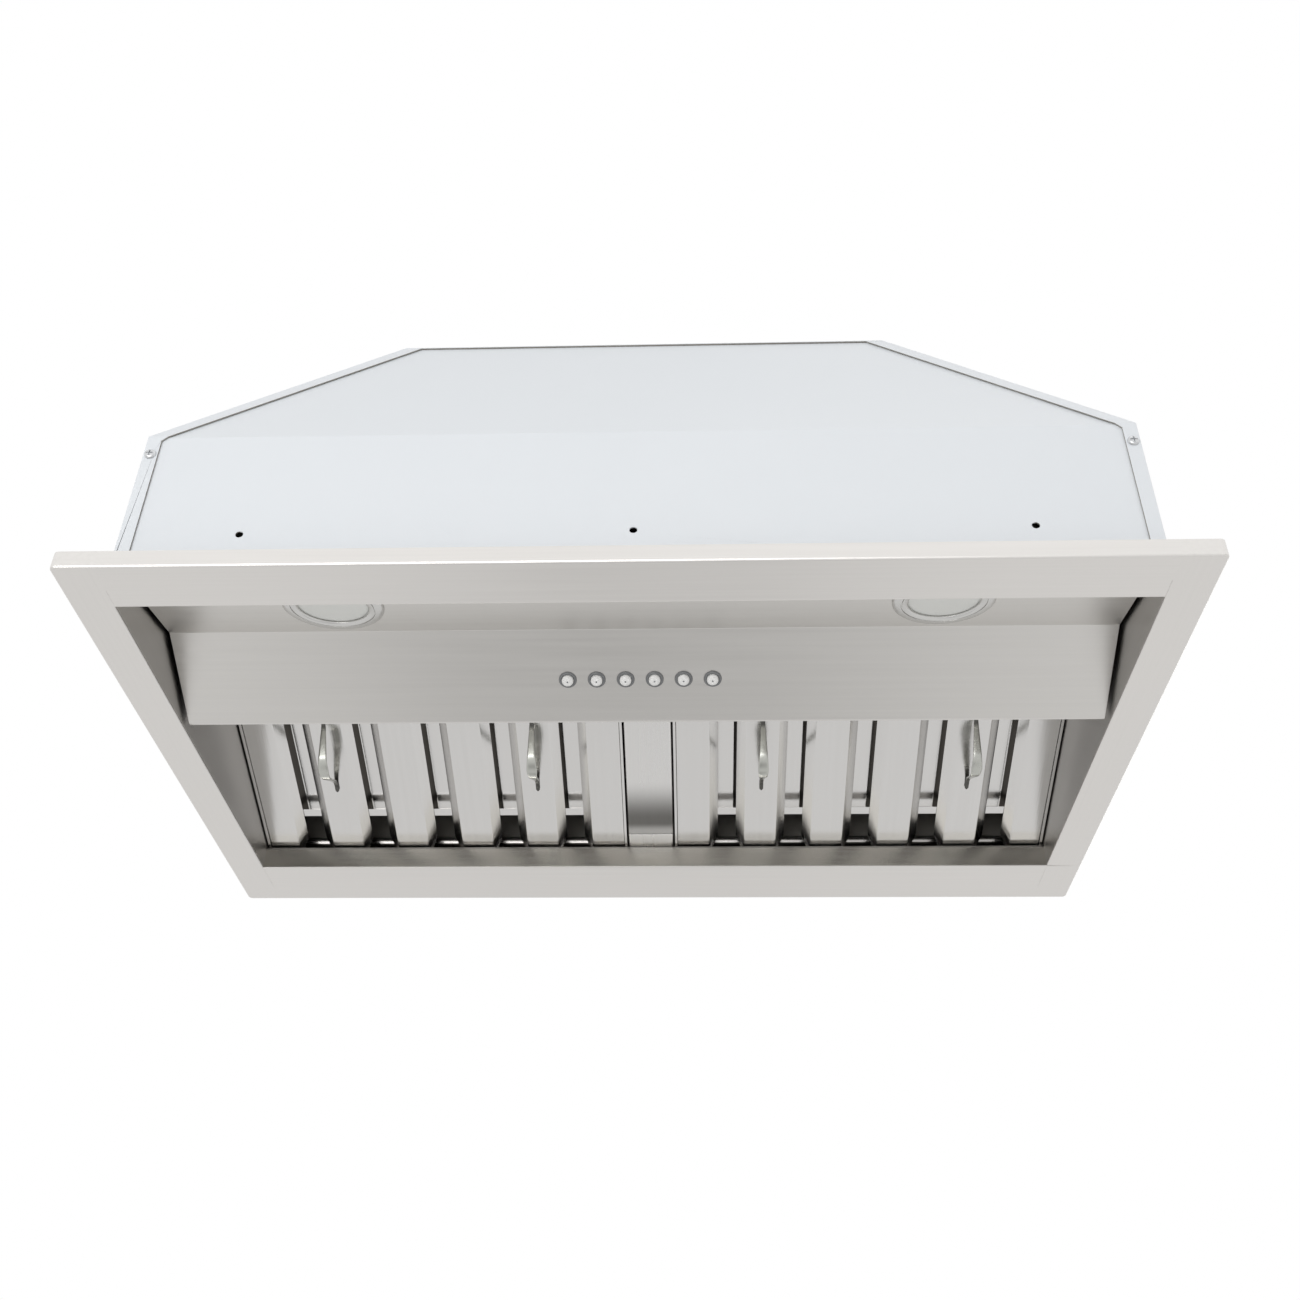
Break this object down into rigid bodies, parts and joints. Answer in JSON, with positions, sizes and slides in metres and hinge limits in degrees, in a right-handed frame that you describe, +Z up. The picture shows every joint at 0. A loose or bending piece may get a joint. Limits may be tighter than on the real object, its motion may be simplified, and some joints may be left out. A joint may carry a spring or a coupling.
{
  "type": "range hood insert",
  "caption": "Built-in range hood insert: sloped sheet-metal body on a flat stainless face frame, removable baffle filters, lamps, push buttons, blower and round duct collar.",
  "frame": {"origin": "middle of the underside of the face frame, which is the plane that shows below the cabinet", "axes": "+X to the right seen from the front, +Y to the back (wall side), +Z up towards the duct"},
  "size_m": [0.721, 0.464, 0.3443],
  "materials": {
    "coated_steel": "pale grey coated sheet steel, satin",
    "brushed_steel": "stainless sheet brushed along X",
    "liner_steel": "stainless sheet, dull",
    "baffle_steel": "stainless sheet, smooth satin",
    "galvanised": "galvanised sheet, dull",
    "dark_metal": "dark grey enamel",
    "zinc_screw": "bright zinc plate",
    "black_plastic": "fine matt texture",
    "grey_plastic": "silver grey, satin",
    "button_plastic": "pale silver, satin",
    "lens": "frosted, satin"
  },
  "bodies": {
    "hood_body": {"back_panel": "coated_steel", "blower_housing": "galvanised", "cable_gland": "black_plastic", "damper_pin": "zinc_screw", "duct_collar": "galvanised", "face_frame": "brushed_steel", "filter_divider": "brushed_steel", "front_panel": "coated_steel", "grease_trough": "liner_steel", "junction_box": "galvanised", "lamp_bezel_left": "brushed_steel", "lamp_bezel_right": "brushed_steel", "lamp_can_left": "galvanised", "lamp_can_right": "galvanised", "lamp_driver": "black_plastic", "lamp_lens_left": "lens", "lamp_lens_right": "lens", "light_control_panel": "brushed_steel", "motor": "dark_metal", "motor_bracket": "galvanised", "motor_capacitor": "dark_metal", "seam_screw_back_left": "zinc_screw", "seam_screw_back_right": "zinc_screw", "seam_screw_front_left": "zinc_screw", "seam_screw_front_right": "zinc_screw", "side_liner_left": "liner_steel", "side_liner_right": "liner_steel", "side_panel_left": "coated_steel", "side_panel_right": "coated_steel", "switch_block": "grey_plastic", "top_plate": "coated_steel"},
    "filter_left": {"baffle_left_1": "baffle_steel", "baffle_left_2": "baffle_steel", "baffle_left_3": "baffle_steel", "baffle_left_4": "baffle_steel", "baffle_left_5": "baffle_steel", "baffle_left_6": "baffle_steel", "filter_frame_left": "baffle_steel", "handle_left_inner": "brushed_steel", "handle_left_outer": "brushed_steel"},
    "filter_right": {"baffle_right_1": "baffle_steel", "baffle_right_2": "baffle_steel", "baffle_right_3": "baffle_steel", "baffle_right_4": "baffle_steel", "baffle_right_5": "baffle_steel", "baffle_right_6": "baffle_steel", "filter_frame_right": "baffle_steel", "handle_right_inner": "brushed_steel", "handle_right_outer": "brushed_steel"},
    "button_1": {"button_1": "button_plastic"},
    "button_2": {"button_2": "button_plastic"},
    "button_3": {"button_3": "button_plastic"},
    "button_4": {"button_4": "button_plastic"},
    "button_5": {"button_5": "button_plastic"},
    "button_6": {"button_6": "button_plastic"},
    "wheel": {"blower_wheel": "galvanised", "motor_shaft": "zinc_screw"},
    "flap_front": {"damper_flap_front": "galvanised"},
    "flap_rear": {"damper_flap_rear": "galvanised"}
  },
  "joints": [
    {"name": "filter_left_slide", "type": "slide", "parent": "hood_body", "child": "filter_left", "axis": [0, -0.9426, 0.3338], "range_m": [0, 0.016]},
    {"name": "filter_right_slide", "type": "slide", "parent": "hood_body", "child": "filter_right", "axis": [0, -0.9426, 0.3338], "range_m": [0, 0.016]},
    {"name": "button_1_press", "type": "slide", "parent": "hood_body", "child": "button_1", "axis": [0, 0.4394, 0.8983], "range_m": [0, 0.0022], "stiffness_N_per_m": 300, "springref_m": -0.001},
    {"name": "button_2_press", "type": "slide", "parent": "hood_body", "child": "button_2", "axis": [0, 0.4394, 0.8983], "range_m": [0, 0.0022], "stiffness_N_per_m": 300, "springref_m": -0.001},
    {"name": "button_3_press", "type": "slide", "parent": "hood_body", "child": "button_3", "axis": [0, 0.4394, 0.8983], "range_m": [0, 0.0022], "stiffness_N_per_m": 300, "springref_m": -0.001},
    {"name": "button_4_press", "type": "slide", "parent": "hood_body", "child": "button_4", "axis": [0, 0.4394, 0.8983], "range_m": [0, 0.0022], "stiffness_N_per_m": 300, "springref_m": -0.001},
    {"name": "button_5_press", "type": "slide", "parent": "hood_body", "child": "button_5", "axis": [0, 0.4394, 0.8983], "range_m": [0, 0.0022], "stiffness_N_per_m": 300, "springref_m": -0.001},
    {"name": "button_6_press", "type": "slide", "parent": "hood_body", "child": "button_6", "axis": [0, 0.4394, 0.8983], "range_m": [0, 0.0022], "stiffness_N_per_m": 300, "springref_m": -0.001},
    {"name": "wheel_spin", "type": "hinge", "parent": "hood_body", "child": "wheel", "pos_m": [0, 0.053, 0.2073], "axis": [1, 0, 0], "continuous": true},
    {"name": "flap_front_swing", "type": "hinge", "parent": "hood_body", "child": "flap_front", "pos_m": [0, 0, 0.3213], "axis": [1, 0, 0], "range_deg": [-75, 0]},
    {"name": "flap_rear_swing", "type": "hinge", "parent": "hood_body", "child": "flap_rear", "pos_m": [0, 0, 0.3213], "axis": [1, 0, 0], "range_deg": [0, 75]}
  ]
}
